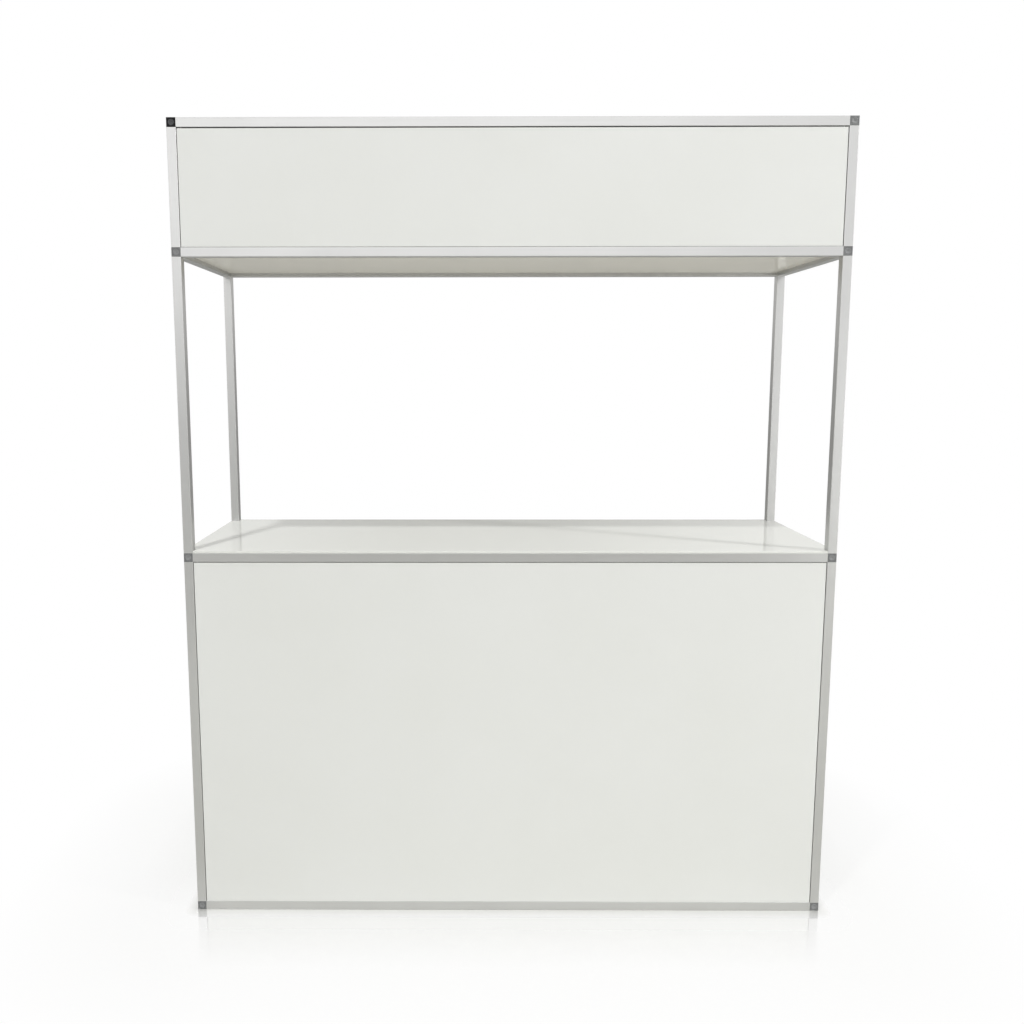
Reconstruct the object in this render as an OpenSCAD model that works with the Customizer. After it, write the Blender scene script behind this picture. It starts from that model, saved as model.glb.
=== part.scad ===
// Registration counter: a free-standing stand of square extruded tubes knocked onto moulded
// corner connectors. White sheets close the counter and the header. They stand in front of fins
// on the tubes, on black seals, and the countertop lies on the rails.
// X runs to the visitor's right, Y from the visitor's side to the attendant's side, Z up.
// The origin is on the floor, under the middle of the stand.

/* [Frame] */
// Outside width of the square tubes and of the connector cubes
tube_w = 25; // [20:0.5:40]
// Length of the rails that run across the front and the rear
rail_w = 1750; // [600:10:2400]
// Length of the rails that run from the front to the rear
rail_d = 450; // [200:10:900]
// Length of the posts between the base and the counter
lower_post_l = 1005; // [500:5:1200]
// Length of the posts between the counter and the header
window_post_l = 800; // [300:5:1200]
// Length of the posts between the header's lower and upper rails
header_post_l = 305; // [150:5:600]

/* [Tube section] */
// Wall of the tubes
tube_wall = 1.5; // [1.2:0.1:2]
// Radius of the tubes' long outer edges
tube_edge_r = 1.2; // [0.4:0.1:3]
// Width of the fins behind the upright panels
fin_w = 12; // [8:0.5:20]
// Thickness of the fins
fin_t = 1.5; // [1.2:0.1:2.5]
// Depth of the groove that holds the ceiling panel's edge
groove_depth = 4.8; // [3.6:0.1:5.5]
// Wall round the groove, inside the tube
groove_wall = 1.2; // [0.8:0.1:1.5]

/* [Panels] */
// Thickness of the upright panels and of the header's ceiling panel
panel_t = 3; // [2:0.5:4]
// Thickness of the countertop panel
countertop_t = 6; // [4:0.5:10]
// Bevel along the countertop's upper edges
countertop_bevel = 0.8; // [0.3:0.1:1.5]
// Play between the countertop's corner notches and the posts
notch_play = 0.5; // [0.3:0.1:1]
// How far the upright panels' outer faces lie behind those of the tubes
panel_recess = 1.5; // [1.3:0.1:3]
// Gap between an upright panel's sides and the posts
panel_side_gap = 1.5; // [0.5:0.1:3]
// Gap between the counter's panels and the rail above them
counter_panel_gap = 1.8; // [0.5:0.1:3]
// Gap between the header's panels and the rail above them
header_panel_gap = 2.6; // [0.5:0.1:4]
// Gap between the header's panels and the rail below them
header_panel_lift = 0.8; // [0.3:0.1:2]
// Width of the seals between the fins and the upright panels
seal_w = 10; // [6:0.5:18]
// Thickness of the seals
seal_t = 1; // [0.5:0.1:2]
// Play between the ceiling panel's face and the wall of its groove
panel_face_play = 0.2; // [0.1:0.05:0.3]
// Play between the ceiling panel's edge and the bottom of its groove
panel_edge_play = 0.3; // [0.2:0.05:0.5]

/* [Connectors] */
// Radius of the connector cube's edges
hub_edge_r = 1; // [0.4:0.1:2]
// Length of a leg, which is knocked into the end of a tube
leg_l = 45; // [30:1:70]
// Play between a leg's ribs and the inside of the tube
leg_play = 0.15; // [0.1:0.05:0.3]
// Length of the plain collar at the root of a leg
leg_collar_l = 5; // [3:0.5:8]
// Length of the tapered tip of a leg
leg_tip_l = 6; // [4:0.5:10]
// Depth of the taper on each side of the tip
leg_tip_inset = 2; // [1:0.1:3]
// Number of grip ribs along a leg
leg_ribs = 4; // [2:1:8]
// Height of the grip ribs
leg_rib_h = 0.5; // [0.3:0.1:0.8]
// Wall round the core pocket in a leg's end
leg_core_wall = 3; // [2:0.1:3.5]

/* [Plugs and foot inserts] */
// Diameter of the plug in each free face of a connector
plug_d = 16; // [12:0.5:17]
// Thickness of the plug
plug_t = 4; // [3:0.1:5]
// Width of the plug's raised rim
plug_rim_w = 2.6; // [1.5:0.1:3]
// Depth of the plug's dished middle
plug_dish = 0.8; // [0.4:0.1:1.2]
// Diameter of the dimple in the middle of the plug
plug_dimple_d = 5; // [3:0.5:6]
// Play round a plug in its socket
plug_play = 0.15; // [0.1:0.05:0.3]
// Outside diameter of the threaded insert under a base connector
insert_d = 12; // [11:0.5:14]
// Length of the threaded insert
insert_l = 14; // [10:0.5:16]
// Core diameter of the insert's thread
insert_bore_d = 6.8; // [5:0.1:8.5]
// Play round the insert in its socket
insert_play = 0.1; // [0.05:0.05:0.2]

/* [Hidden] */
$fn = 48;
FRONT = -1;
REAR = 1;
LEFT = -1;
RIGHT = 1;
BASE = 0;
COUNTER = 1;
HEADER = 2;
TOP = 3;
UP = 90;
DOWN = 270;
aluminium = "#C9CBC8";
sheet_white = "#E9EAE6";
seal_black = "#26282A";
moulding_grey = "#7F827F";
moulding_black = "#2B2C2D";
zinc = "#A9ABAD";

// Places of the four connector levels and of the post and rail centrelines
level_z = [
    tube_w / 2,
    tube_w * 3 / 2 + lower_post_l,
    tube_w * 5 / 2 + lower_post_l + window_post_l,
    tube_w * 7 / 2 + lower_post_l + window_post_l + header_post_l,
];
post_x = (rail_w + tube_w) / 2;
post_y = (rail_d + tube_w) / 2;
countertop_z = level_z[COUNTER] + tube_w / 2;

// Sizes that follow from the tube, the groove and the plays
bore_w = tube_w - 2 * tube_wall;
groove_w = panel_t + 2 * panel_face_play;
channel_w = groove_w + 2 * groove_wall;
channel_depth = groove_depth + groove_wall;
panel_tongue = groove_depth - panel_edge_play;
leg_w = bore_w - 2 * leg_play;
leg_slot_w = channel_w + 2 * leg_play;
leg_core_w = tube_w - 2 * (channel_depth + leg_play);
leg_rib_pitch = (leg_l - leg_collar_l - leg_tip_l) / leg_ribs;
fin_setback = panel_recess + panel_t + seal_t;
fin_joint = 0.5;
fin_trim = fin_w + fin_joint;
seal_inset = 0.2;
plug_edge = 0.4;
overlap = 1;

// Square with rounded corners
module rounded_square(w, r) {
    square([w, w - 2 * r], center = true);
    square([w - 2 * r, w], center = true);
    for (x = [-1, 1], y = [-1, 1])
        translate([x * (w / 2 - r), y * (w / 2 - r)])
            circle(r);
}

// Section of a tube, with a panel groove in each side whose direction is listed
module tube_section(groove_angles = []) {
    difference() {
        rounded_square(tube_w, tube_edge_r);
        difference() {
            square(bore_w, center = true);
            for (angle = groove_angles)
                rotate(angle)
                    translate([tube_w / 2 - channel_depth, -channel_w / 2])
                        square([channel_depth, channel_w]);
        }
        for (angle = groove_angles)
            rotate(angle)
                translate([tube_w / 2 - groove_depth, -groove_w / 2])
                    square([groove_depth + overlap, groove_w]);
    }
}

// Section of the fins on a tube. Each is given by the angle that it points to and by the
// side, 1 for the left and -1 for the right of that way, on which its panel stands.
module fin_section(fins) {
    for (fin = fins)
        rotate(fin[0])
            mirror([0, fin[1] > 0 ? 1 : 0])
                translate([tube_w / 2 - tube_wall, fin_setback - tube_w / 2])
                    square([tube_wall + fin_w, fin_t]);
}

// Tube along Z whose fins stop short of its ends by fin_short
module finned_tube(l, fins, fin_short = 0, groove_angles = []) {
    color(aluminium)
        union() {
            linear_extrude(l, center = true)
                tube_section(groove_angles);
            if (len(fins) > 0)
                linear_extrude(l - 2 * fin_short, center = true)
                    fin_section(fins);
        }
}

// Tube across the stand: in its section, angle 0 faces +Y and angle 90 faces +Z
module cross_rail(end, level, fins, groove_angles = []) {
    translate([0, end * post_y, level_z[level]])
        rotate([90, 0, 90])
            finned_tube(rail_w, fins, fin_trim, groove_angles);
}

// Tube from front to rear: in its section, angle 0 faces +X and angle 90 faces +Z
module side_rail(side, level, fins, groove_angles = []) {
    translate([side * post_x, 0, level_z[level]])
        rotate([90, 0, 0])
            finned_tube(rail_d, fins, fin_trim, groove_angles);
}

// Directions, in a section, of the side that faces the middle of the stand
function inward(side) = side < 0 ? 0 : 180;
function inward_y(end) = end < 0 ? 90 : 270;

// Fins of a rail that point up or down, behind the panel on the given side of the stand
function rail_fin(way, side) = [[way, way == UP ? -side : side]];

// Post between two levels. A front post carries the front panel and a side panel,
// and a rear post a side panel only.
module panelled_post(level, l, side, end) {
    side_fin = [inward_y(end), side * end];
    front_fin = [inward(side), side];
    translate([side * post_x, end * post_y, level_z[level] + (l + tube_w) / 2])
        finned_tube(l, end == FRONT ? [front_fin, side_fin] : [side_fin]);
}

module lower_post(side, end) {
    panelled_post(BASE, lower_post_l, side, end);
}

module header_post(side, end) {
    panelled_post(HEADER, header_post_l, side, end);
}

module window_post(side, end) {
    translate([side * post_x, end * post_y, level_z[COUNTER] + (window_post_l + tube_w) / 2])
        finned_tube(window_post_l, []);
}

// The front rails carry the edges of the front panels, and the rear rails carry none
module base_cross_rail(end) {
    cross_rail(end, BASE, end == FRONT ? rail_fin(UP, end) : []);
}

module counter_cross_rail(end) {
    cross_rail(end, COUNTER, end == FRONT ? rail_fin(DOWN, end) : []);
}

module header_cross_rail(end) {
    cross_rail(end, HEADER, end == FRONT ? rail_fin(UP, end) : [], [inward(end)]);
}

module top_cross_rail(end) {
    cross_rail(end, TOP, end == FRONT ? rail_fin(DOWN, end) : []);
}

module base_side_rail(side) {
    side_rail(side, BASE, rail_fin(UP, side));
}

module counter_side_rail(side) {
    side_rail(side, COUNTER, rail_fin(DOWN, side));
}

module header_side_rail(side) {
    side_rail(side, HEADER, rail_fin(UP, side), [inward(side)]);
}

module top_side_rail(side) {
    side_rail(side, TOP, rail_fin(DOWN, side));
}

// Places its children, drawn to stand in the XZ plane and face -Y, on a side of the stand.
// y = 0 is the outer face of the tubes there.
module on_front() {
    translate([0, -post_y - tube_w / 2, 0])
        children();
}

module on_side(side) {
    translate([side * (post_x + tube_w / 2), 0, 0])
        rotate(side * 90)
            children();
}

// Sheet between two posts w apart, from z1 to z2
module upright_sheet(w, z1, z2) {
    color(sheet_white)
        translate([panel_side_gap - w / 2, panel_recess, z1])
            cube([w - 2 * panel_side_gap, panel_t, z2 - z1]);
}

module counter_sheet(w) {
    upright_sheet(w, tube_w, tube_w + lower_post_l - counter_panel_gap);
}

module header_sheet(w) {
    z = level_z[HEADER] + tube_w / 2;
    upright_sheet(w, z + header_panel_lift, z + header_post_l - header_panel_gap);
}

// Four strips on the fins round an opening w wide, between z1 and z2. Those along the rails
// are as long as the rails' fins.
module seal_strips(w, z1, z2) {
    outer = w / 2 - seal_inset;
    inner = outer - seal_w;
    low = z1 + seal_inset;
    high = z2 - seal_inset;
    rail_strip_l = w - 2 * fin_trim;
    color(seal_black)
        translate([0, panel_recess + panel_t, 0])
            union() {
                for (x = [-outer, inner])
                    translate([x, 0, low])
                        cube([seal_w, seal_t, high - low]);
                for (z = [low, high - seal_w])
                    translate([-rail_strip_l / 2, 0, z])
                        cube([rail_strip_l, seal_t, seal_w]);
            }
}

module counter_seals(w) {
    seal_strips(w, tube_w, tube_w + lower_post_l);
}

module header_seals(w) {
    z = level_z[HEADER] + tube_w / 2;
    seal_strips(w, z, z + header_post_l);
}

module counter_panel_seals() {
    on_front()
        counter_seals(rail_w);
    for (side = [LEFT, RIGHT])
        on_side(side)
            counter_seals(rail_d);
}

module header_panel_seals() {
    on_front()
        header_seals(rail_w);
    for (side = [LEFT, RIGHT])
        on_side(side)
            header_seals(rail_d);
}

// The ceiling panel lies on the lower walls of the header rails' grooves, and its corners
// are notched clear of the connectors
module header_ceiling_panel() {
    color(sheet_white)
        translate([0, 0, level_z[HEADER] - panel_face_play])
            linear_extrude(panel_t, center = true)
                union() {
                    square([rail_w + 2 * panel_tongue, rail_d - 4 * panel_edge_play], center = true);
                    square([rail_w - 4 * panel_edge_play, rail_d + 2 * panel_tongue], center = true);
                }
}

// Outline of the countertop seen from one edge, w wide, with bevelled upper edges
module countertop_profile(w) {
    polygon([
        [-w / 2, 0],
        [w / 2, 0],
        [w / 2, countertop_t - countertop_bevel],
        [w / 2 - countertop_bevel, countertop_t],
        [-w / 2 + countertop_bevel, countertop_t],
        [-w / 2, countertop_t - countertop_bevel],
    ]);
}

// The countertop lies on the counter rails, level with their outer sides, and its corners
// are notched round the window posts
module countertop_panel() {
    w = rail_w + 2 * tube_w;
    d = rail_d + 2 * tube_w;
    notch = tube_w + notch_play;
    color(sheet_white)
        translate([0, 0, countertop_z])
            difference() {
                intersection() {
                    rotate([90, 0, 0])
                        linear_extrude(d, center = true)
                            countertop_profile(w);
                    rotate([90, 0, 90])
                        linear_extrude(w, center = true)
                            countertop_profile(d);
                }
                for (side = [LEFT, RIGHT], end = [FRONT, REAR])
                    translate([side * w / 2, end * d / 2, countertop_t / 2])
                        cube([2 * notch, 2 * notch, 2 * countertop_t], center = true);
            }
}

// Turns what points along +Z to point along a row of directions
function turn_to(direction) =
    direction[0] != 0 ? [0, 90 * direction[0], 0] :
    direction[1] != 0 ? [-90 * direction[1], 0, 0] :
    [direction[2] > 0 ? 0 : 180, 0, 0];

// Directions of a connector's legs, and of its faces that carry no leg
function leg_directions(level, side, end) = concat(
    [[-side, 0, 0], [0, -end, 0]],
    level < TOP ? [[0, 0, 1]] : [],
    level > BASE ? [[0, 0, -1]] : []
);
function plug_directions(level, side, end) = concat(
    [[side, 0, 0], [0, end, 0]],
    level == TOP ? [[0, 0, 1]] : []
);

// Cube of the connector, its edges rounded along X, Y and Z
module hub() {
    intersection_for (turn = [[0, 0, 0], [90, 0, 0], [0, 90, 0]])
        rotate(turn)
            linear_extrude(tube_w, center = true)
                rounded_square(tube_w, hub_edge_r);
}

// Outline of a leg from its root inside the cube to its tip: a collar, sawtooth ribs that
// fall away towards the tip so that the leg goes in easily and grips, and a taper
module leg_outline() {
    crest = leg_w / 2;
    valley = crest - leg_rib_h;
    ribs = [for (rib = [1 : leg_ribs]) leg_collar_l + rib * leg_rib_pitch];
    right_side = concat(
        [[crest, -overlap], [crest, leg_collar_l]],
        [for (z = ribs) each [[valley, z], [crest, z]]],
        [[crest - leg_tip_inset, leg_l]]
    );
    count = len(right_side);
    left_side = [for (i = [1 : count]) [-right_side[count - i][0], right_side[count - i][1]]];
    polygon(concat(right_side, left_side));
}

// A leg's section: slots in its four sides clear the ceiling's groove inside the tube
module leg_section() {
    difference() {
        square(leg_w, center = true);
        for (angle = [0, 90, 180, 270])
            rotate(angle)
                translate([leg_core_w / 2, -leg_slot_w / 2])
                    square([leg_w, leg_slot_w]);
    }
}

// A leg that stands up from z = 0, the face of the cube
module leg() {
    core = leg_core_w - 2 * leg_core_wall;
    difference() {
        intersection() {
            translate([0, 0, -overlap])
                linear_extrude(leg_l + overlap)
                    leg_section();
            for_both_sides()
                linear_extrude(leg_w, center = true)
                    leg_outline();
        }
        translate([-core / 2, -core / 2, leg_collar_l])
            cube([core, core, leg_l]);
    }
}

// The outline is cut across the leg both ways
module for_both_sides() {
    intersection() {
        rotate([90, 0, 0])
            children();
        rotate([90, 0, 90])
            children();
    }
}

module connector(level, side, end) {
    is_black = level == TOP && side == LEFT && end == FRONT;
    socket_r = plug_d / 2 + plug_play;
    insert_r = insert_d / 2 + insert_play;
    color(is_black ? moulding_black : moulding_grey)
        translate([side * post_x, end * post_y, level_z[level]])
            difference() {
                union() {
                    hub();
                    for (direction = leg_directions(level, side, end))
                        rotate(turn_to(direction))
                            translate([0, 0, tube_w / 2])
                                leg();
                }
                for (direction = plug_directions(level, side, end))
                    rotate(turn_to(direction))
                        translate([0, 0, tube_w / 2 - plug_t])
                            cylinder(h = plug_t + overlap, r = socket_r);
                if (level == BASE)
                    translate([0, 0, -tube_w / 2 - overlap])
                        cylinder(h = insert_l + overlap, r = insert_r);
            }
}

// Round cover with a raised rim and a dimple, seated from z = 0 up
module plug() {
    r = plug_d / 2;
    dish_z = plug_t - plug_dish;
    dimple_r = plug_dimple_d / 2;
    edge = plug_edge;
    rotate_extrude()
        polygon([
            [0, 0],
            [r, 0],
            [r, plug_t - edge],
            [r - edge, plug_t],
            [r - plug_rim_w, plug_t],
            [r - plug_rim_w - edge, dish_z],
            [dimple_r, dish_z],
            [dimple_r - edge, dish_z - plug_dish],
            [0, dish_z - plug_dish],
        ]);
}

// The plugs of one connector
module plugs_of(level, side, end) {
    translate([side * post_x, end * post_y, level_z[level]])
        for (direction = plug_directions(level, side, end))
            rotate(turn_to(direction))
                translate([0, 0, tube_w / 2 - plug_t])
                    plug();
}

module connector_plugs() {
    color(moulding_grey)
        for (level = [BASE : TOP], side = [LEFT, RIGHT], end = [FRONT, REAR])
            if (!(level == TOP && side == LEFT && end == FRONT))
                plugs_of(level, side, end);
}

module black_connector_plugs() {
    color(moulding_black)
        plugs_of(TOP, LEFT, FRONT);
}

// Threaded inserts for feet, level with the underside of the base connectors
module foot_inserts() {
    color(zinc)
        for (side = [LEFT, RIGHT], end = [FRONT, REAR])
            translate([side * post_x, end * post_y, 0])
                difference() {
                    cylinder(h = insert_l, d = insert_d);
                    translate([0, 0, -overlap])
                        cylinder(h = insert_l + 2 * overlap, d = insert_bore_d);
                }
}

connector(BASE, LEFT, FRONT);  // base_connector_front_left
connector(BASE, RIGHT, FRONT);  // base_connector_front_right
connector(BASE, LEFT, REAR);  // base_connector_rear_left
connector(BASE, RIGHT, REAR);  // base_connector_rear_right
connector(COUNTER, LEFT, FRONT);  // counter_connector_front_left
connector(COUNTER, RIGHT, FRONT);  // counter_connector_front_right
connector(COUNTER, LEFT, REAR);  // counter_connector_rear_left
connector(COUNTER, RIGHT, REAR);  // counter_connector_rear_right
connector(HEADER, LEFT, FRONT);  // header_connector_front_left
connector(HEADER, RIGHT, FRONT);  // header_connector_front_right
connector(HEADER, LEFT, REAR);  // header_connector_rear_left
connector(HEADER, RIGHT, REAR);  // header_connector_rear_right
connector(TOP, LEFT, FRONT);  // top_connector_front_left
connector(TOP, RIGHT, FRONT);  // top_connector_front_right
connector(TOP, LEFT, REAR);  // top_connector_rear_left
connector(TOP, RIGHT, REAR);  // top_connector_rear_right
lower_post(LEFT, FRONT);  // lower_post_front_left
lower_post(RIGHT, FRONT);  // lower_post_front_right
lower_post(LEFT, REAR);  // lower_post_rear_left
lower_post(RIGHT, REAR);  // lower_post_rear_right
window_post(LEFT, FRONT);  // window_post_front_left
window_post(RIGHT, FRONT);  // window_post_front_right
window_post(LEFT, REAR);  // window_post_rear_left
window_post(RIGHT, REAR);  // window_post_rear_right
header_post(LEFT, FRONT);  // header_post_front_left
header_post(RIGHT, FRONT);  // header_post_front_right
header_post(LEFT, REAR);  // header_post_rear_left
header_post(RIGHT, REAR);  // header_post_rear_right
base_cross_rail(FRONT);  // base_rail_front
base_cross_rail(REAR);  // base_rail_rear
base_side_rail(LEFT);  // base_rail_left
base_side_rail(RIGHT);  // base_rail_right
counter_cross_rail(FRONT);  // counter_rail_front
counter_cross_rail(REAR);  // counter_rail_rear
counter_side_rail(LEFT);  // counter_rail_left
counter_side_rail(RIGHT);  // counter_rail_right
header_cross_rail(FRONT);  // header_rail_front
header_cross_rail(REAR);  // header_rail_rear
header_side_rail(LEFT);  // header_rail_left
header_side_rail(RIGHT);  // header_rail_right
top_cross_rail(FRONT);  // top_rail_front
top_cross_rail(REAR);  // top_rail_rear
top_side_rail(LEFT);  // top_rail_left
top_side_rail(RIGHT);  // top_rail_right
on_front() counter_sheet(rail_w);  // counter_front_panel
on_side(LEFT) counter_sheet(rail_d);  // counter_left_panel
on_side(RIGHT) counter_sheet(rail_d);  // counter_right_panel
countertop_panel();
on_front() header_sheet(rail_w);  // header_front_panel
on_side(LEFT) header_sheet(rail_d);  // header_left_panel
on_side(RIGHT) header_sheet(rail_d);  // header_right_panel
header_ceiling_panel();
counter_panel_seals();
header_panel_seals();
connector_plugs();
black_connector_plugs();
foot_inserts();
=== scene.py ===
import math

import bmesh
import bpy
from mathutils import Matrix, Vector


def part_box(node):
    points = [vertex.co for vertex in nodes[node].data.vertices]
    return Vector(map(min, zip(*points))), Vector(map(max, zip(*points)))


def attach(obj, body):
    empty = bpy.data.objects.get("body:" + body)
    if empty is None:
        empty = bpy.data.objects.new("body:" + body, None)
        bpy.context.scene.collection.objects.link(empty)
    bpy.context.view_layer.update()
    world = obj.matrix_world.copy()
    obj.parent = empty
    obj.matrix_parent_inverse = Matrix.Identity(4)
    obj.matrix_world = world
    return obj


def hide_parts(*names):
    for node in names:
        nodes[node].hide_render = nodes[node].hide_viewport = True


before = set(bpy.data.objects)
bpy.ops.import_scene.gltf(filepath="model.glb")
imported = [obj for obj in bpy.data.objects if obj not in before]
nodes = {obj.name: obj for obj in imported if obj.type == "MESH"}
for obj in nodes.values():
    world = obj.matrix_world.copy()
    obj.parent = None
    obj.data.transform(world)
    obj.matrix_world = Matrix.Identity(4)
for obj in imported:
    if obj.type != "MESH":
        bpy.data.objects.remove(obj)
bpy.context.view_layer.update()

# Camera. It stands on the visitor's side at eye height, a little left of the middle, and looks
# slightly down at the counter and slightly up at the underside of the header.
PICTURE_PX = 1024
FOCAL_LENGTH_PX = 840.05
OPTICAL_CENTRE_PX = Vector((463.5, 471.4))
SENSOR_WIDTH_MM = 36
CAMERA_PLACE = (-0.1148, -2.5227, 1.5524)
CAMERA_TURN_DEGREES = (83.2238, 0.0486, 0.2971)
camera_data = bpy.data.cameras.new("visitor_view")
camera_data.sensor_width = SENSOR_WIDTH_MM
camera_data.lens = SENSOR_WIDTH_MM * FOCAL_LENGTH_PX / PICTURE_PX
camera_data.shift_x = 0.5 - OPTICAL_CENTRE_PX.x / PICTURE_PX
camera_data.shift_y = OPTICAL_CENTRE_PX.y / PICTURE_PX - 0.5
camera = bpy.data.objects.new("visitor_camera", camera_data)
camera.location = CAMERA_PLACE
camera.rotation_euler = [math.radians(angle) for angle in CAMERA_TURN_DEGREES]
bpy.context.scene.collection.objects.link(camera)
bpy.context.scene.camera = camera
bpy.context.scene.view_settings.view_transform = "Standard"

# Studio surround. White to the camera and in reflections, as in a catalogue picture, and a soft
# light from all round.
WHITE = "#FFFFFF"
SURROUND_LIGHT = 0.255


def linear(sRGB_hex):
    """sRGB hex value as a linear colour with alpha"""
    channels = [int(sRGB_hex[i:i + 2], 16) / 255 for i in (1, 3, 5)]
    return [c / 12.92 if c <= 0.04045 else ((c + 0.055) / 1.055) ** 2.4 for c in channels] + [1]


def add_node(tree, kind, settings={}, sockets={}):
    """Adds a node, sets its properties, and sets its sockets or links them to other sockets"""
    made = tree.nodes.new(kind)
    for name, value in settings.items():
        setattr(made, name, value)
    for name, value in sockets.items():
        if isinstance(value, bpy.types.NodeSocket):
            tree.links.new(value, made.inputs[name])
        else:
            made.inputs[name].default_value = value
    return made


world = bpy.data.worlds.new("white_surround")
bpy.context.scene.world = world
world.use_nodes = True
tree = world.node_tree
tree.nodes.clear()
path = add_node(tree, "ShaderNodeLightPath")
looked_at = add_node(tree, "ShaderNodeMath", {"operation": "MAXIMUM"},
                     {0: path.outputs["Is Camera Ray"], 1: path.outputs["Is Glossy Ray"]})
looked_at = add_node(tree, "ShaderNodeMath", {"operation": "MAXIMUM"},
                     {0: looked_at.outputs[0], 1: path.outputs["Is Transmission Ray"]})
light = add_node(tree, "ShaderNodeBackground", {},
                 {"Color": linear(WHITE), "Strength": SURROUND_LIGHT})
seen = add_node(tree, "ShaderNodeBackground", {}, {"Color": linear(WHITE), "Strength": 1})
mixed = add_node(tree, "ShaderNodeMixShader", {},
                 {0: looked_at.outputs[0], 1: light.outputs[0], 2: seen.outputs[0]})
add_node(tree, "ShaderNodeOutputWorld", {}, {"Surface": mixed.outputs[0]})

# Studio floor. The further from the stand, the more of it is plain white to the camera, and a tenth
# as much in reflections. The lit rest keeps the shadow, which is deepest along the foot. Near the
# stand it is polished, which gives the fading mirror image of the foot.
FLOOR_WHITE = "#E9E9E3"
FLOOR_SIDE = 60
FOOTPRINT = Vector((0.9, 0.25, 0))
WHITENED_AT_FOOT = 0.8
WHITENED_REACH = 0.6
WHITENED_IN_REFLECTIONS = 0.1
CONTACT_SHADOW = 0.8
CONTACT_REACH = 0.035
MIRRORED_FOOT = 0.46
MIRRORED_FOOT_REACH = 0.24
MIRROR_ROUGHNESS = 0.1
DULLER_IN_REFLECTIONS = 0.5


def bare_material(name):
    """A new material, and its emptied node tree"""
    material = bpy.data.materials.new(name)
    material.use_nodes = True
    material.node_tree.nodes.clear()
    return material, material.node_tree


def stage_plane(name, width, height, matrix, material):
    """A flat rectangle of the set"""
    mesh = bpy.data.meshes.new(name)
    corners = [(-0.5, -0.5), (0.5, -0.5), (0.5, 0.5), (-0.5, 0.5)]
    mesh.from_pydata([matrix @ Vector((x * width, y * height, 0)) for x, y in corners], [],
                     [(0, 1, 2, 3)])
    mesh.materials.append(material)
    plane = bpy.data.objects.new(name, mesh)
    bpy.context.scene.collection.objects.link(plane)
    return plane


material, tree = bare_material("polished_floor")
path = add_node(tree, "ShaderNodeLightPath")
place = add_node(tree, "ShaderNodeTexCoord")
across = add_node(tree, "ShaderNodeVectorMath", {"operation": "ABSOLUTE"},
                  {0: place.outputs["Object"]})
outside = add_node(tree, "ShaderNodeVectorMath", {"operation": "SUBTRACT"},
                   {0: across.outputs[0], 1: FOOTPRINT})
outside = add_node(tree, "ShaderNodeVectorMath", {"operation": "MAXIMUM"},
                   {0: outside.outputs[0], 1: (0, 0, 0)})
distance = add_node(tree, "ShaderNodeVectorMath", {"operation": "LENGTH"},
                    {0: outside.outputs[0]}).outputs["Value"]

whitened = add_node(tree, "ShaderNodeMapRange", {},
                    {"Value": distance, "From Min": 0, "From Max": WHITENED_REACH,
                     "To Min": WHITENED_AT_FOOT, "To Max": 1})
contact = add_node(tree, "ShaderNodeMapRange", {},
                   {"Value": distance, "From Min": 0, "From Max": CONTACT_REACH,
                    "To Min": CONTACT_SHADOW, "To Max": 0})
whitened = add_node(tree, "ShaderNodeMath", {"operation": "SUBTRACT"},
                    {0: whitened.outputs[0], 1: contact.outputs[0]})
seen_whole = add_node(tree, "ShaderNodeMath", {"operation": "MAXIMUM"},
                      {0: path.outputs["Is Camera Ray"], 1: path.outputs["Is Transmission Ray"]})
seen = add_node(tree, "ShaderNodeMath", {"operation": "MULTIPLY_ADD", "use_clamp": True},
                {0: path.outputs["Is Glossy Ray"], 1: WHITENED_IN_REFLECTIONS,
                 2: seen_whole.outputs[0]})
whitened = add_node(tree, "ShaderNodeMath", {"operation": "MULTIPLY"},
                    {0: whitened.outputs[0], 1: seen.outputs[0]})
lit = add_node(tree, "ShaderNodeBsdfDiffuse", {}, {"Color": linear(FLOOR_WHITE)})
plain_white = add_node(tree, "ShaderNodeEmission", {}, {"Color": linear(WHITE), "Strength": 1})
pale = add_node(tree, "ShaderNodeMixShader", {},
                {0: whitened.outputs[0], 1: lit.outputs[0], 2: plain_white.outputs[0]})

polish = add_node(tree, "ShaderNodeMapRange", {},
                  {"Value": distance, "From Min": 0, "From Max": MIRRORED_FOOT_REACH,
                   "To Min": MIRRORED_FOOT, "To Max": 0})
duller = add_node(tree, "ShaderNodeMath", {"operation": "MULTIPLY_ADD"},
                  {0: path.outputs["Is Glossy Ray"], 1: -DULLER_IN_REFLECTIONS, 2: 1})
polish = add_node(tree, "ShaderNodeMath", {"operation": "MULTIPLY"},
                  {0: polish.outputs[0], 1: duller.outputs[0]})
around = add_node(tree, "ShaderNodeMath", {"operation": "GREATER_THAN"}, {0: distance, 1: 0})
polish = add_node(tree, "ShaderNodeMath", {"operation": "MULTIPLY"},
                  {0: polish.outputs[0], 1: around.outputs[0]})
mirror = add_node(tree, "ShaderNodeBsdfGlossy", {},
                  {"Color": linear(WHITE), "Roughness": MIRROR_ROUGHNESS})
floor_surface = add_node(tree, "ShaderNodeMixShader", {},
                         {0: polish.outputs[0], 1: pale.outputs[0], 2: mirror.outputs[0]})
add_node(tree, "ShaderNodeOutputMaterial", {}, {"Surface": floor_surface.outputs[0]})
stage_plane("floor", FLOOR_SIDE, FLOOR_SIDE, Matrix.Identity(4), material)

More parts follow.
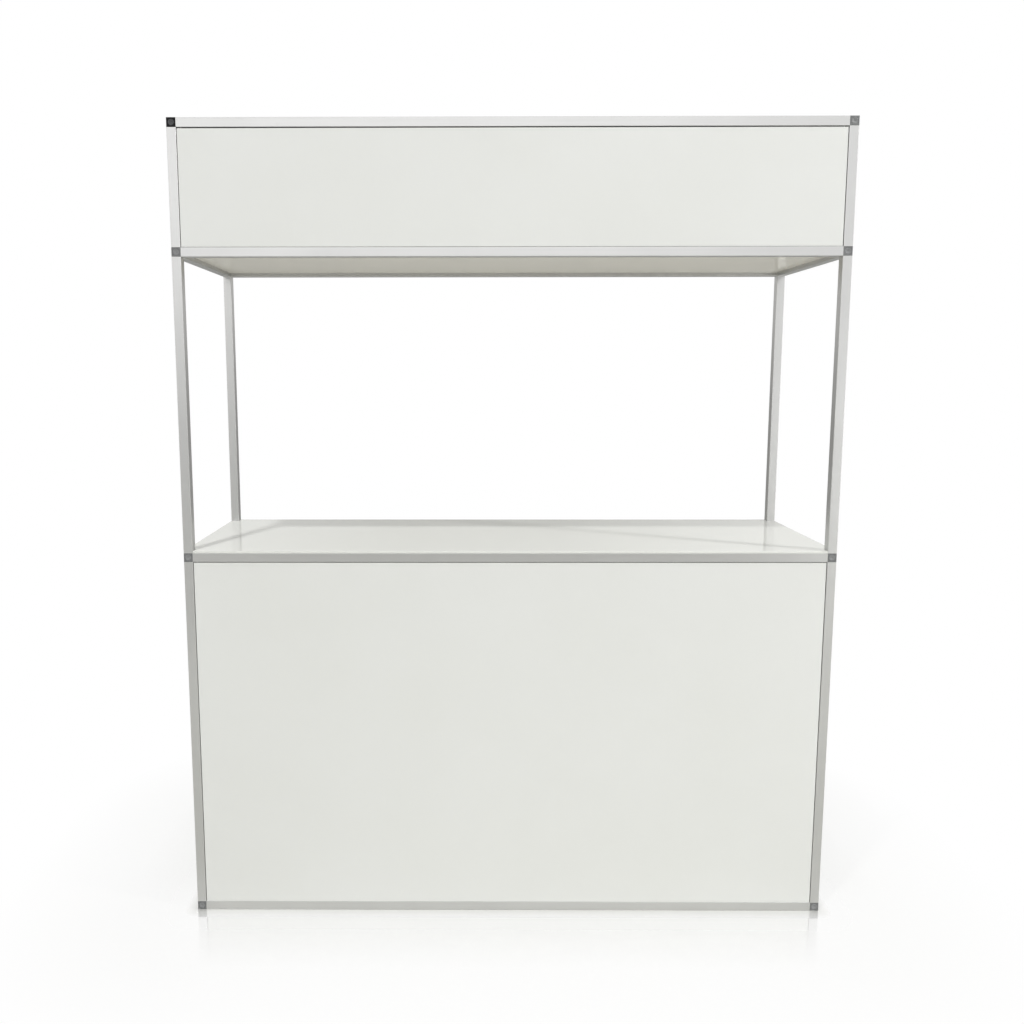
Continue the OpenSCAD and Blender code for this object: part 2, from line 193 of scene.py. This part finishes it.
# Studio screen. A grey cloth behind the stand, paler above and towards its sides. Only reflections
# show it: it gives the tubes their darker sides, and the countertop and the ceiling their grey.
SCREEN_LOW = "#A0A09E"
SCREEN_HIGH_MIDDLE = "#D0D0CE"
SCREEN_HIGH_SIDES = "#EEEEEC"
SCREEN_WIDTH = 14
SCREEN_HEIGHT = 4
SCREEN_PLACE = (0, 6, 2)
PALER_FROM_HEIGHT = 1.5
PALEST_FROM_HEIGHT = 2.1
PALER_FROM_MIDDLE = 0.8
PALEST_FROM_MIDDLE = 2.8
material, tree = bare_material("grey_screen")
place = add_node(tree, "ShaderNodeSeparateXYZ", {},
                 {0: add_node(tree, "ShaderNodeTexCoord").outputs["Object"]})
sideways = add_node(tree, "ShaderNodeMath", {"operation": "ABSOLUTE"}, {0: place.outputs["X"]})
sideways = add_node(tree, "ShaderNodeMapRange", {},
                    {"Value": sideways.outputs[0], "From Min": PALER_FROM_MIDDLE,
                     "From Max": PALEST_FROM_MIDDLE})
high = add_node(tree, "ShaderNodeMix", {"data_type": "RGBA"},
                {"Factor": sideways.outputs[0], "A": linear(SCREEN_HIGH_MIDDLE),
                 "B": linear(SCREEN_HIGH_SIDES)})
upwards = add_node(tree, "ShaderNodeMapRange", {},
                   {"Value": place.outputs["Z"], "From Min": PALER_FROM_HEIGHT,
                    "From Max": PALEST_FROM_HEIGHT})
grey = add_node(tree, "ShaderNodeMix", {"data_type": "RGBA"},
                {"Factor": upwards.outputs[0], "A": linear(SCREEN_LOW), "B": high.outputs[2]})
cloth = add_node(tree, "ShaderNodeEmission", {}, {"Color": grey.outputs[2]})
add_node(tree, "ShaderNodeOutputMaterial", {}, {"Surface": cloth.outputs[0]})
upright = Matrix.Translation(SCREEN_PLACE) @ Matrix.Rotation(math.pi / 2, 4, "X")
screen = stage_plane("grey_screen", SCREEN_WIDTH, SCREEN_HEIGHT, upright, material)
screen.visible_camera = False
screen.visible_diffuse = False
screen.visible_shadow = False
screen.visible_transmission = False

# Studio lamps. Softboxes all round the stand, and two far lamps which draw the posts' shadows on
# the countertop. Those that would leave a glint on an edge or a pane of light are not mirrored.
UNMIRRORED_LAMPS = ("far_left_lamp", "rear_softbox", "floor_softbox")
# name, middle, what it faces, width, height, power in watts
LAMPS = [
    ("far_left_lamp", (-2.2, -3.37, 8.5), (-0.5, 0, 1.2), 0.4, 0.4, 272),
    ("far_right_lamp", (4.37, -1.83, 4.27), (0.5, 0, 1.2), 0.3, 0.3, 100),
    ("front_softbox", (-0.5, -5, 3.15), (0, 0, 1.3), 5.8, 2, 26),
    ("left_softbox", (-3.5, -3.2, 1.4), (0, 0, 0.6), 1.2, 2, 11),
    ("right_softbox", (3.5, -3.3, 0.9), (0, 0, 0.6), 1.8, 1.5, 19),
    ("overhead_softbox", (0, 0.6, 4.4), (0, 0, 0), 4.5, 3.5, 20),
    ("rear_softbox", (0.4, 3.6, 1.5), (0, 0, 1), 2.6, 1.8, 28),
    ("floor_softbox", (0, -2.4, 0.3), (0, 0, 0.5), 3.4, 0.3, 4.8),
]
for name, middle, facing, width, height, power in LAMPS:
    lamp = bpy.data.lights.new(name, "AREA")
    lamp.shape = "RECTANGLE"
    lamp.size = width
    lamp.size_y = height
    lamp.energy = power
    stand = bpy.data.objects.new(name, lamp)
    stand.location = middle
    stand.rotation_mode = "QUATERNION"
    stand.rotation_quaternion = (Vector(facing) - Vector(middle)).to_track_quat("-Z", "Y")
    stand.visible_camera = False
    stand.visible_glossy = name not in UNMIRRORED_LAMPS
    bpy.context.scene.collection.objects.link(stand)

# Connectors. Cubes with ribbed legs that are knocked into the tube ends, injection moulded in
# glass-filled nylon: a grainy, slightly glossy grey, drawn paler along the edges as a painted
# highlight. One is black.
GREY_BODY = "#747576"
GREY_EDGE_HIGHLIGHT = "#97989A"
BLACK_BODY = "#151617"
BLACK_EDGE_HIGHLIGHT = "#38393B"
NYLON_IOR = 1.53
NYLON_SMOOTHEST = 0.42
NYLON_ROUGHEST = 0.62
GRAINS_PER_M = 1200
GRAIN_DEPTH = 0.0001
FLOW_MARKS_PER_M = 90
FLOW_MARK_STRENGTH = 0.25
GRAIN_STRENGTH = 0.35
EDGE_HIGHLIGHT_WIDTH = 0.0012
# agreement of the rounded and the flat normal where the painted edge highlight starts, and where
# it is greatest
EDGE_HIGHLIGHT_FROM = 0.995
FULL_EDGE_HIGHLIGHT_FROM = 0.93
EDGE_HIGHLIGHT_MOST = 0.55


def moulded_nylon(name, body_hex, edge_highlight_hex, gloss):
    """Spark-eroded mould grain of about 0.8 mm, drawn twice as coarse as real so that it shows"""
    material, tree = bare_material(name)
    place = add_node(tree, "ShaderNodeTexCoord").outputs["Object"]
    grain = add_node(tree, "ShaderNodeTexNoise", {},
                     {"Vector": place, "Scale": GRAINS_PER_M, "Detail": 2})
    flow = add_node(tree, "ShaderNodeTexNoise", {},
                    {"Vector": place, "Scale": FLOW_MARKS_PER_M, "Detail": 3})
    soft_edge = add_node(tree, "ShaderNodeBevel", {"samples": 6}, {"Radius": EDGE_HIGHLIGHT_WIDTH})
    flat = add_node(tree, "ShaderNodeNewGeometry")
    agreement = add_node(tree, "ShaderNodeVectorMath", {"operation": "DOT_PRODUCT"},
                         {0: soft_edge.outputs[0], 1: flat.outputs["Normal"]})
    # painted highlight: the edges are drawn paler where the rounded normal leaves the flat one
    painted_edge_highlight = add_node(tree, "ShaderNodeMapRange", {},
                    {"Value": agreement.outputs["Value"], "From Min": EDGE_HIGHLIGHT_FROM,
                     "From Max": FULL_EDGE_HIGHLIGHT_FROM, "To Min": 0, "To Max": EDGE_HIGHLIGHT_MOST})
    mottle = add_node(tree, "ShaderNodeMix", {"data_type": "RGBA", "blend_type": "SOFT_LIGHT"},
                      {"Factor": FLOW_MARK_STRENGTH, "A": linear(body_hex),
                       "B": flow.outputs["Fac"]})
    colour = add_node(tree, "ShaderNodeMix", {"data_type": "RGBA"},
                      {"Factor": painted_edge_highlight.outputs[0], "A": mottle.outputs[2], "B": linear(edge_highlight_hex)})
    roughness = add_node(tree, "ShaderNodeMapRange", {},
                         {"Value": flow.outputs["Fac"], "To Min": NYLON_SMOOTHEST,
                          "To Max": NYLON_ROUGHEST})
    bump = add_node(tree, "ShaderNodeBump", {},
                    {"Strength": GRAIN_STRENGTH, "Distance": GRAIN_DEPTH,
                     "Height": grain.outputs["Fac"]})
    surface = add_node(tree, "ShaderNodeBsdfPrincipled", {},
                       {"Base Color": colour.outputs[2], "Roughness": roughness.outputs[0],
                        "IOR": NYLON_IOR, "Specular IOR Level": gloss, "Normal": bump.outputs[0]})
    add_node(tree, "ShaderNodeOutputMaterial", {}, {"Surface": surface.outputs[0]})
    return material


def finish_nodes(wanted, material):
    """Gives the material to the CAD nodes whose names pass the test"""
    for name, node in nodes.items():
        if wanted(name):
            node.data.materials.clear()
            node.data.materials.append(material)


grey_nylon = moulded_nylon("grey_moulded_nylon", GREY_BODY, GREY_EDGE_HIGHLIGHT, gloss=0.5)
black_nylon = moulded_nylon("black_moulded_nylon", BLACK_BODY, BLACK_EDGE_HIGHLIGHT, gloss=0.15)
finish_nodes(lambda name: "_connector_" in name, grey_nylon)
finish_nodes(lambda name: name == "top_connector_front_left", black_nylon)

# Foot inserts. Zinc plated steel bushes moulded into the underside of the base connectors, with
# an M8 thread for a foot or a castor. The thread is swept along a helix inside each bush.
INSERT_PLACES = Vector((1.775, 0.475, 0))
INSERT_RADIUS = 0.006
INSERT_LENGTH = 0.014
THREAD_ROOT_RADIUS = 0.0040
THREAD_PITCH = 0.00125
CREST_TO_PITCH = 0.55
THREAD_INSET_TO_PITCH = 0.6
ZINC_BLUISH = "#B4B8BE"
ZINC_DULL = "#A5A69F"
ZINC_SMOOTHEST = 0.22
ZINC_ROUGHEST = 0.45
ZINC_PATCHES_PER_M = 250


def zinc_plated_steel():
    """Bright zinc with a faint blue passivation, in patches of about 4 mm"""
    material, tree = bare_material("zinc_plated_steel")
    place = add_node(tree, "ShaderNodeTexCoord").outputs["Object"]
    patches = add_node(tree, "ShaderNodeTexNoise", {},
                       {"Vector": place, "Scale": ZINC_PATCHES_PER_M})
    colour = add_node(tree, "ShaderNodeMix", {"data_type": "RGBA"},
                      {"Factor": patches.outputs["Fac"], "A": linear(ZINC_BLUISH),
                       "B": linear(ZINC_DULL)})
    roughness = add_node(tree, "ShaderNodeMapRange", {},
                         {"Value": patches.outputs["Fac"], "To Min": ZINC_SMOOTHEST,
                          "To Max": ZINC_ROUGHEST})
    surface = add_node(tree, "ShaderNodeBsdfPrincipled", {},
                       {"Base Color": colour.outputs[2], "Metallic": 1,
                        "Roughness": roughness.outputs[0]})
    add_node(tree, "ShaderNodeOutputMaterial", {}, {"Surface": surface.outputs[0]})
    return material


def nodes_modifier(owner, tree, inputs):
    """Puts a Geometry Nodes tree on an object and sets its inputs by their names"""
    modifier = owner.modifiers.new(tree.name, "NODES")
    modifier.node_group = tree
    for item in tree.interface.items_tree:
        if item.item_type == "SOCKET" and item.in_out == "INPUT" and item.name in inputs:
            modifier[item.identifier] = inputs[item.name]
    return modifier


def baked_piece(owner, name):
    """Plain mesh object of what the owner's modifiers make; the owner is removed"""
    depsgraph = bpy.context.evaluated_depsgraph_get()
    mesh = bpy.data.meshes.new_from_object(owner.evaluated_get(depsgraph))
    bpy.data.objects.remove(owner)
    mesh.name = name
    piece = bpy.data.objects.new(name, mesh)
    bpy.context.scene.collection.objects.link(piece)
    return piece


def empty_owner(name):
    """Object with an empty mesh, for a tree to fill"""
    owner = bpy.data.objects.new(name, bpy.data.meshes.new(name))
    bpy.context.scene.collection.objects.link(owner)
    return owner


tree = bpy.data.node_groups.new("threaded_bushes", "GeometryNodeTree")
for name, kind in [("Bush radius", "NodeSocketFloat"), ("Bush length", "NodeSocketFloat"),
                   ("Thread root radius", "NodeSocketFloat"), ("Thread pitch", "NodeSocketFloat"),
                   ("Spacing across", "NodeSocketFloat"), ("Spacing deep", "NodeSocketFloat"),
                   ("Material", "NodeSocketMaterial")]:
    tree.interface.new_socket(name, in_out="INPUT", socket_type=kind)
tree.interface.new_socket("Bushes", in_out="OUTPUT", socket_type="NodeSocketGeometry")
given = add_node(tree, "NodeGroupInput").outputs
wall = add_node(tree, "ShaderNodeMath", {"operation": "SUBTRACT"},
                {0: given["Bush radius"], 1: given["Thread root radius"]}).outputs[0]
half_wall = add_node(tree, "ShaderNodeMath", {"operation": "MULTIPLY"},
                     {0: wall, 1: 0.5}).outputs[0]
middle_radius = add_node(tree, "ShaderNodeMath", {"operation": "ADD"},
                         {0: given["Thread root radius"], 1: half_wall}).outputs[0]
ring = add_node(tree, "GeometryNodeCurvePrimitiveCircle", {},
                {"Resolution": 40, "Radius": middle_radius})
section = add_node(tree, "GeometryNodeCurvePrimitiveQuadrilateral", {},
                   {"Width": wall, "Height": given["Bush length"]})
bush = add_node(tree, "GeometryNodeCurveToMesh", {},
                {"Curve": ring.outputs[0], "Profile Curve": section.outputs[0]})
half_length = add_node(tree, "ShaderNodeMath", {"operation": "MULTIPLY"},
                       {0: given["Bush length"], 1: 0.5}).outputs[0]
lift = add_node(tree, "ShaderNodeCombineXYZ", {}, {"Z": half_length})
bush = add_node(tree, "GeometryNodeTransform", {},
                {"Geometry": bush.outputs[0], "Translation": lift.outputs[0]})
thread_length = add_node(tree, "ShaderNodeMath", {"operation": "SUBTRACT"},
                         {0: given["Bush length"], 1: given["Thread pitch"]}).outputs[0]
turns = add_node(tree, "ShaderNodeMath", {"operation": "DIVIDE"},
                 {0: thread_length, 1: given["Thread pitch"]}).outputs[0]
helix = add_node(tree, "GeometryNodeCurveSpiral", {},
                 {"Resolution": 32, "Rotations": turns, "Start Radius": given["Thread root radius"],
                  "End Radius": given["Thread root radius"], "Height": thread_length})
helix = add_node(tree, "GeometryNodeSetCurveNormal", {"mode": "Z_UP"}, {"Curve": helix.outputs[0]})
crest = add_node(tree, "ShaderNodeMath", {"operation": "MULTIPLY"},
                 {0: given["Thread pitch"], 1: CREST_TO_PITCH}).outputs[0]
ridge = add_node(tree, "GeometryNodeCurvePrimitiveCircle", {}, {"Resolution": 4, "Radius": crest})
thread = add_node(tree, "GeometryNodeCurveToMesh", {},
                  {"Curve": helix.outputs[0], "Profile Curve": ridge.outputs[0],
                   "Fill Caps": True})
inset = add_node(tree, "ShaderNodeMath", {"operation": "MULTIPLY"},
                 {0: given["Thread pitch"], 1: THREAD_INSET_TO_PITCH}).outputs[0]
lift = add_node(tree, "ShaderNodeCombineXYZ", {}, {"Z": inset})
thread = add_node(tree, "GeometryNodeTransform", {},
                  {"Geometry": thread.outputs[0], "Translation": lift.outputs[0]})
whole = add_node(tree, "GeometryNodeJoinGeometry")
tree.links.new(bush.outputs[0], whole.inputs[0])
tree.links.new(thread.outputs[0], whole.inputs[0])
corners = add_node(tree, "GeometryNodeMeshGrid", {},
                   {"Size X": given["Spacing across"], "Size Y": given["Spacing deep"],
                    "Vertices X": 2, "Vertices Y": 2})
placed = add_node(tree, "GeometryNodeInstanceOnPoints", {},
                  {"Points": corners.outputs[0], "Instance": whole.outputs[0]})
real = add_node(tree, "GeometryNodeRealizeInstances", {}, {"Geometry": placed.outputs[0]})
finished = add_node(tree, "GeometryNodeSetMaterial", {},
                    {"Geometry": real.outputs[0], "Material": given["Material"]})
add_node(tree, "NodeGroupOutput", {}, {0: finished.outputs[0]})

owner = empty_owner("bush_owner")
nodes_modifier(owner, tree, {
    "Bush radius": INSERT_RADIUS, "Bush length": INSERT_LENGTH,
    "Thread root radius": THREAD_ROOT_RADIUS, "Thread pitch": THREAD_PITCH,
    "Spacing across": INSERT_PLACES.x, "Spacing deep": INSERT_PLACES.y,
    "Material": zinc_plated_steel(),
})
threaded_bushes = baked_piece(owner, "threaded_bushes")
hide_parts("foot_inserts")
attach(threaded_bushes, "root")

# Posts and rails. Extruded aluminium tube, satin anodised, sawn to length: a soft metallic grey
# with fine die lines along each tube, a few dull handling marks, and a bright band at the cuts:
# partly raw metal, partly a painted highlight of the tube ends.
ANODISED_PALER = "#CBCBCA"
ANODISED_DARKER = "#C3C3C2"
RAW_CUT_AND_HIGHLIGHT = "#D8D8D5"
CUT_AND_HIGHLIGHT_WIDTH = 0.0008
SATIN_SMOOTHEST = 0.30
SATIN_ROUGHEST = 0.40
MARKED_ROUGHNESS = 0.42
DIE_LINES_PER_M = 400
DIE_LINE_BREAKS_PER_M = 2.5
DIE_LINE_DEPTH = 0.00005
DIE_LINE_STRENGTH = 0.15
CLOUDS_PER_M = 6
CLOUD_STRENGTH = 0.12
MARKS_PER_M = 55
MARKS_FROM = 0.64
MARKS_FULL_FROM = 0.74
AXES = {"X": 0, "Y": 1, "Z": 2}


def anodised_aluminium(name, axis, middle, half_length):
    """The tube runs along the axis. Real die lines are 0.2 mm wide; they are drawn 2.5 mm wide"""
    material, tree = bare_material(name)
    place = add_node(tree, "ShaderNodeTexCoord").outputs["Object"]
    line_scale = [DIE_LINES_PER_M] * 3
    line_scale[AXES[axis]] = DIE_LINE_BREAKS_PER_M
    drawn = add_node(tree, "ShaderNodeMapping", {}, {"Vector": place, "Scale": line_scale})
    lines = add_node(tree, "ShaderNodeTexNoise", {},
                     {"Vector": drawn.outputs[0], "Scale": 1, "Detail": 3, "Roughness": 0.6})
    clouds = add_node(tree, "ShaderNodeTexNoise", {},
                      {"Vector": place, "Scale": CLOUDS_PER_M, "Detail": 4})
    marks = add_node(tree, "ShaderNodeTexNoise", {},
                     {"Vector": place, "Scale": MARKS_PER_M, "Detail": 6})
    marked = add_node(tree, "ShaderNodeMapRange", {},
                      {"Value": marks.outputs["Fac"], "From Min": MARKS_FROM,
                       "From Max": MARKS_FULL_FROM})
    along = add_node(tree, "ShaderNodeSeparateXYZ", {}, {0: place}).outputs[axis]
    from_middle = add_node(tree, "ShaderNodeMath", {"operation": "SUBTRACT"},
                           {0: along, 1: middle})
    from_middle = add_node(tree, "ShaderNodeMath", {"operation": "ABSOLUTE"},
                           {0: from_middle.outputs[0]})
    # bright band at each end of the tube: partly raw metal, partly a painted highlight
    cut_and_highlight = add_node(tree, "ShaderNodeMath", {"operation": "GREATER_THAN"},
                   {0: from_middle.outputs[0], 1: half_length - CUT_AND_HIGHLIGHT_WIDTH})
    lined = add_node(tree, "ShaderNodeMix", {"data_type": "RGBA"},
                     {"Factor": lines.outputs["Fac"], "A": linear(ANODISED_PALER),
                      "B": linear(ANODISED_DARKER)})
    tinted = add_node(tree, "ShaderNodeMix", {"data_type": "RGBA", "blend_type": "SOFT_LIGHT"},
                      {"Factor": CLOUD_STRENGTH, "A": lined.outputs[2],
                       "B": clouds.outputs["Fac"]})
    colour = add_node(tree, "ShaderNodeMix", {"data_type": "RGBA"},
                      {"Factor": cut_and_highlight.outputs[0], "A": tinted.outputs[2], "B": linear(RAW_CUT_AND_HIGHLIGHT)})
    satin = add_node(tree, "ShaderNodeMapRange", {},
                     {"Value": lines.outputs["Fac"], "To Min": SATIN_SMOOTHEST,
                      "To Max": SATIN_ROUGHEST})
    roughness = add_node(tree, "ShaderNodeMix", {"data_type": "FLOAT"},
                         {"Factor": marked.outputs[0], "A": satin.outputs[0],
                          "B": MARKED_ROUGHNESS})
    bump = add_node(tree, "ShaderNodeBump", {},
                    {"Strength": DIE_LINE_STRENGTH, "Distance": DIE_LINE_DEPTH,
                     "Height": lines.outputs["Fac"]})
    surface = add_node(tree, "ShaderNodeBsdfPrincipled", {},
                       {"Base Color": colour.outputs[2], "Metallic": 1,
                        "Roughness": roughness.outputs[0], "Normal": bump.outputs[0]})
    add_node(tree, "ShaderNodeOutputMaterial", {}, {"Surface": surface.outputs[0]})
    return material


for stretch in ("lower_post", "window_post", "header_post"):
    low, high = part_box(f"{stretch}_front_left")
    finish_nodes(lambda name: name.startswith(stretch),
                 anodised_aluminium(f"anodised_{stretch}", "Z", (low.z + high.z) / 2,
                                    (high.z - low.z) / 2))
low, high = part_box("base_rail_front")
finish_nodes(lambda name: "_rail_front" in name or "_rail_rear" in name,
             anodised_aluminium("anodised_cross_rail", "X", 0, high.x))
low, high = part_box("base_rail_left")
finish_nodes(lambda name: "_rail_left" in name or "_rail_right" in name,
             anodised_aluminium("anodised_side_rail", "Y", 0, high.y))

# Panels. White rigid sheet, sawn to size, on seals in front of the tubes' fins; the countertop lies
# on the rails and the ceiling in their grooves. An even warm white with a light gloss, the faint
# orange peel of rolled sheet, and a slow waviness.
SHEET_IOR = 1.5
PEEL_PER_M = 330
PEEL_DEPTH = 0.00005
WAVES_PER_M = 2.5
WAVE_DEPTH = 0.002
WAVE_STRENGTH = 0.3
WIPES_PER_M = 3
WIPES_FROM = 0.3
WIPES_FULL_FROM = 0.7


def white_sheet(name, paler_hex, darker_hex, smoothest, roughest, peel):
    """Orange peel of about 3 mm; waves of about 0.4 m"""
    material, tree = bare_material(name)
    place = add_node(tree, "ShaderNodeTexCoord").outputs["Object"]
    wipes = add_node(tree, "ShaderNodeTexNoise", {},
                     {"Vector": place, "Scale": WIPES_PER_M, "Detail": 5})
    peel_noise = add_node(tree, "ShaderNodeTexNoise", {}, {"Vector": place, "Scale": PEEL_PER_M})
    waves = add_node(tree, "ShaderNodeTexNoise", {},
                     {"Vector": place, "Scale": WAVES_PER_M, "Detail": 1})
    colour = add_node(tree, "ShaderNodeMix", {"data_type": "RGBA"},
                      {"Factor": wipes.outputs["Fac"], "A": linear(paler_hex),
                       "B": linear(darker_hex)})
    roughness = add_node(tree, "ShaderNodeMapRange", {},
                         {"Value": wipes.outputs["Fac"], "From Min": WIPES_FROM,
                          "From Max": WIPES_FULL_FROM, "To Min": smoothest, "To Max": roughest})
    wavy = add_node(tree, "ShaderNodeBump", {},
                    {"Strength": WAVE_STRENGTH, "Distance": WAVE_DEPTH,
                     "Height": waves.outputs["Fac"]})
    peeled = add_node(tree, "ShaderNodeBump", {},
                      {"Strength": peel, "Distance": PEEL_DEPTH,
                       "Height": peel_noise.outputs["Fac"], "Normal": wavy.outputs[0]})
    surface = add_node(tree, "ShaderNodeBsdfPrincipled", {},
                       {"Base Color": colour.outputs[2], "Roughness": roughness.outputs[0],
                        "IOR": SHEET_IOR, "Normal": peeled.outputs[0]})
    add_node(tree, "ShaderNodeOutputMaterial", {}, {"Surface": surface.outputs[0]})
    return material


finish_nodes(lambda name: name.endswith("_panel"),
             white_sheet("white_panel_sheet", "#ECEDEB", "#E7E8E4",
                         smoothest=0.29, roughest=0.36, peel=0.3))
finish_nodes(lambda name: name == "countertop_panel",
             white_sheet("glossy_countertop_sheet", "#EBECE8", "#E7E8E2",
                         smoothest=0.03, roughest=0.05, peel=0.06))
# the ceiling is the same white sheet drawn warmer: painted warm bounce light from below
finish_nodes(lambda name: name == "header_ceiling_panel",
             white_sheet("ceiling_sheet_painted_warm", "#EAE6DB", "#E4E0D4",
                         smoothest=0.12, roughest=0.18, peel=0.1))

# Panel seals. Strips of black cellular rubber, 10 mm wide and 1 mm thick, glued on the tubes' fins,
# on which the upright sheets lie: matt, with fine closed pores on the cut faces.
RUBBER_BLACK = "#242628"
RUBBER_DUSTY = "#303235"
RUBBER_ROUGHNESS = 0.85
RUBBER_IOR = 1.5
PORES_PER_M = 650
PORE_DEPTH = 0.0003
PORE_STRENGTH = 0.4
DUST_PER_M = 40


def cellular_rubber():
    """Pores of about 0.5 mm, drawn 1.5 mm wide so that they show"""
    material, tree = bare_material("black_cellular_rubber")
    place = add_node(tree, "ShaderNodeTexCoord").outputs["Object"]
    pores = add_node(tree, "ShaderNodeTexVoronoi", {}, {"Vector": place, "Scale": PORES_PER_M})
    dust = add_node(tree, "ShaderNodeTexNoise", {},
                    {"Vector": place, "Scale": DUST_PER_M, "Detail": 4})
    colour = add_node(tree, "ShaderNodeMix", {"data_type": "RGBA"},
                      {"Factor": dust.outputs["Fac"], "A": linear(RUBBER_BLACK),
                       "B": linear(RUBBER_DUSTY)})
    bump = add_node(tree, "ShaderNodeBump", {},
                    {"Strength": PORE_STRENGTH, "Distance": PORE_DEPTH,
                     "Height": pores.outputs["Distance"]})
    surface = add_node(tree, "ShaderNodeBsdfPrincipled", {},
                       {"Base Color": colour.outputs[2], "Roughness": RUBBER_ROUGHNESS,
                        "IOR": RUBBER_IOR, "Normal": bump.outputs[0]})
    add_node(tree, "ShaderNodeOutputMaterial", {}, {"Surface": surface.outputs[0]})
    return material


finish_nodes(lambda name: name.endswith("_panel_seals"), cellular_rubber())

# Connector plugs. Round caps pressed into every free face of the connectors, moulded in nylon and
# drawn paler than the connectors, a painted highlight of their rims: a rounded rim, a shallow dish
# and a dimple where the moulding gate was. The tree puts the plug, which is turned from its
# profile, on every point of a cloud and faces it outwards.
# the caps' paler tone is a painted highlight; their edges get the painted edge highlight as well
GREY_CAP = "#88898A"
GREY_CAP_EDGE_HIGHLIGHT = "#A6A7A8"
BLACK_CAP = "#4A4B4D"
BLACK_CAP_EDGE_HIGHLIGHT = "#7E8083"
LEVELS = {"base": 0.0125, "counter": 1.0425, "header": 1.8675, "top": 2.1975}
POST_PLACES = Vector((0.8875, 0.2375, 0))
HUB_HALF = 0.0125
PLUG_THICKNESS = 0.004
# radius and height above the bottom of its socket, in mm, from the middle outwards
PLUG_PROFILE_MM = [(0, 2.4), (1.5, 2.4), (2.1, 2.5), (2.45, 2.8), (2.6, 3.1), (2.9, 3.25),
                   (4.9, 3.25), (5.25, 3.35), (5.5, 3.65), (5.75, 3.9), (6.1, 4), (7.2, 4),
                   (7.6, 3.88), (7.88, 3.6), (8, 3.2), (8, 0.3), (7.7, 0), (0, 0)]
PLUG_STEPS = 40
SAME_POINT = 1e-6


def turned_plug():
    """Mesh of one plug with its socket's bottom at z = 0, spun from the profile about Z"""
    turned = bmesh.new()
    points = [turned.verts.new((radius / 1000, 0, height / 1000))
              for radius, height in PLUG_PROFILE_MM]
    edges = [turned.edges.new(pair) for pair in zip(points, points[1:])]
    bmesh.ops.spin(turned, geom=points + edges, axis=(0, 0, 1), cent=(0, 0, 0),
                   angle=math.tau, steps=PLUG_STEPS, use_merge=True)
    bmesh.ops.remove_doubles(turned, verts=turned.verts, dist=SAME_POINT)
    bmesh.ops.recalc_face_normals(turned, faces=turned.faces)
    for face in turned.faces:
        face.smooth = True
    mesh = bpy.data.meshes.new("turned_plug")
    turned.to_mesh(mesh)
    turned.free()
    return mesh


def free_faces(wanted):
    """Middles of the plugs' seats, and the way each faces, on the connectors that are wanted"""
    seats = []
    for level, height in LEVELS.items():
        for side, side_name in ((-1, "left"), (1, "right")):
            for end, end_name in ((-1, "front"), (1, "rear")):
                if not wanted(f"{level}_connector_{end_name}_{side_name}"):
                    continue
                middle = Vector((side * POST_PLACES.x, end * POST_PLACES.y, height))
                facings = [Vector((side, 0, 0)), Vector((0, end, 0))]
                if level == "top":
                    facings.append(Vector((0, 0, 1)))
                seats += [(middle + facing * (HUB_HALF - PLUG_THICKNESS), facing)
                          for facing in facings]
    return seats


tree = bpy.data.node_groups.new("seated_plugs", "GeometryNodeTree")
for name, kind in [("Seats", "NodeSocketGeometry"), ("Plug", "NodeSocketObject"),
                   ("Material", "NodeSocketMaterial")]:
    tree.interface.new_socket(name, in_out="INPUT", socket_type=kind)
tree.interface.new_socket("Plugs", in_out="OUTPUT", socket_type="NodeSocketGeometry")
given = add_node(tree, "NodeGroupInput").outputs
plug_shape = add_node(tree, "GeometryNodeObjectInfo", {}, {"Object": given["Plug"]})
facing = add_node(tree, "GeometryNodeInputNamedAttribute", {"data_type": "FLOAT_VECTOR"},
                  {"Name": "facing"})
turn = add_node(tree, "FunctionNodeAlignRotationToVector", {"axis": "Z"},
                {"Vector": facing.outputs["Attribute"]})
placed = add_node(tree, "GeometryNodeInstanceOnPoints", {},
                  {"Points": given["Seats"], "Instance": plug_shape.outputs["Geometry"],
                   "Rotation": turn.outputs["Rotation"]})
real = add_node(tree, "GeometryNodeRealizeInstances", {}, {"Geometry": placed.outputs[0]})
finished = add_node(tree, "GeometryNodeSetMaterial", {},
                    {"Geometry": real.outputs[0], "Material": given["Material"]})
add_node(tree, "NodeGroupOutput", {}, {0: finished.outputs[0]})

grey_cap_nylon = moulded_nylon("grey_cap_nylon", GREY_CAP, GREY_CAP_EDGE_HIGHLIGHT, gloss=0.5)
black_cap_nylon = moulded_nylon("black_cap_nylon", BLACK_CAP, BLACK_CAP_EDGE_HIGHLIGHT, gloss=0.3)
plug_model = bpy.data.objects.new("turned_plug", turned_plug())
for piece_name, replaced, slot, material, wanted in [
    ("grey_plugs", "connector_plugs", "grey_nylon", grey_cap_nylon,
     lambda name: name != "top_connector_front_left"),
    ("black_plugs", "black_connector_plugs", "black_nylon", black_cap_nylon,
     lambda name: name == "top_connector_front_left"),
]:
    seats = free_faces(wanted)
    cloud = empty_owner("plug_seats")
    cloud.data.from_pydata([place for place, facing in seats], [], [])
    cloud.data.attributes.new("facing", "FLOAT_VECTOR", "POINT")
    for seat, (place, facing) in zip(cloud.data.attributes["facing"].data, seats):
        seat.vector = facing
    nodes_modifier(cloud, tree, {"Plug": plug_model, "Material": material})
    plugs = baked_piece(cloud, piece_name)
    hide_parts(replaced)
    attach(plugs, "root")
bpy.data.objects.remove(plug_model)
